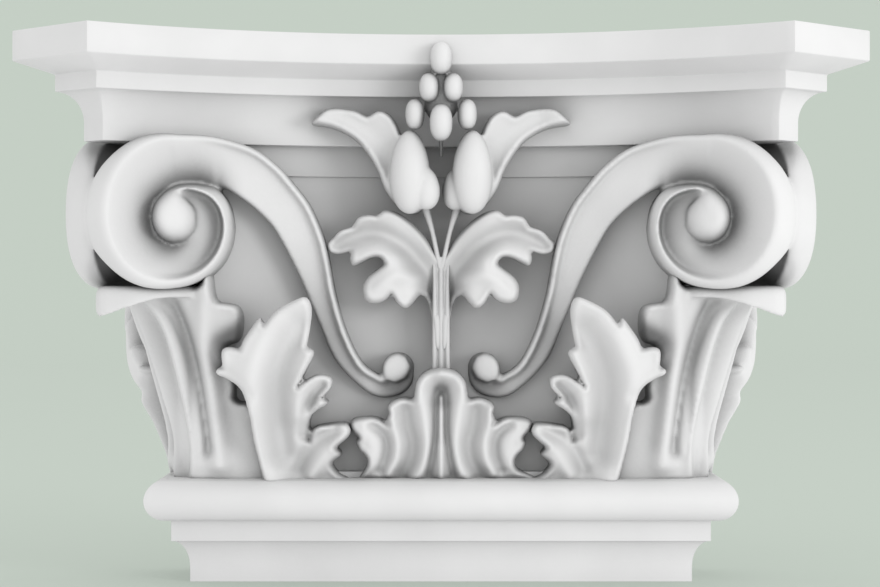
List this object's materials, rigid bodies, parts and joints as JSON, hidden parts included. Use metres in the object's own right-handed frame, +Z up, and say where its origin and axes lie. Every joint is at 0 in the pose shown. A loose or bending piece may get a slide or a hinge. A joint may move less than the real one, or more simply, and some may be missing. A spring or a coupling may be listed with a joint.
{
  "type": "corinthian pilaster capital",
  "caption": "Flat-backed capital for a pilaster: hollow-sided moulded abacus, corner volutes, acanthus leaves, lily flowers with a berry cluster, and a straight torus base, cast in one piece.",
  "frame": {"origin": "centre of the underside, where the capital sits on its pilaster shaft", "axes": "+Z up, -Y towards the carved front, +Y towards the wall, +X to the right seen from the front"},
  "size_m": [0.4, 0.135, 0.2614],
  "materials": {
    "white_casting": "matt white primer on a smooth moulded casting"
  },
  "bodies": {
    "root": {"capital": "white_casting"}
  },
  "joints": []
}
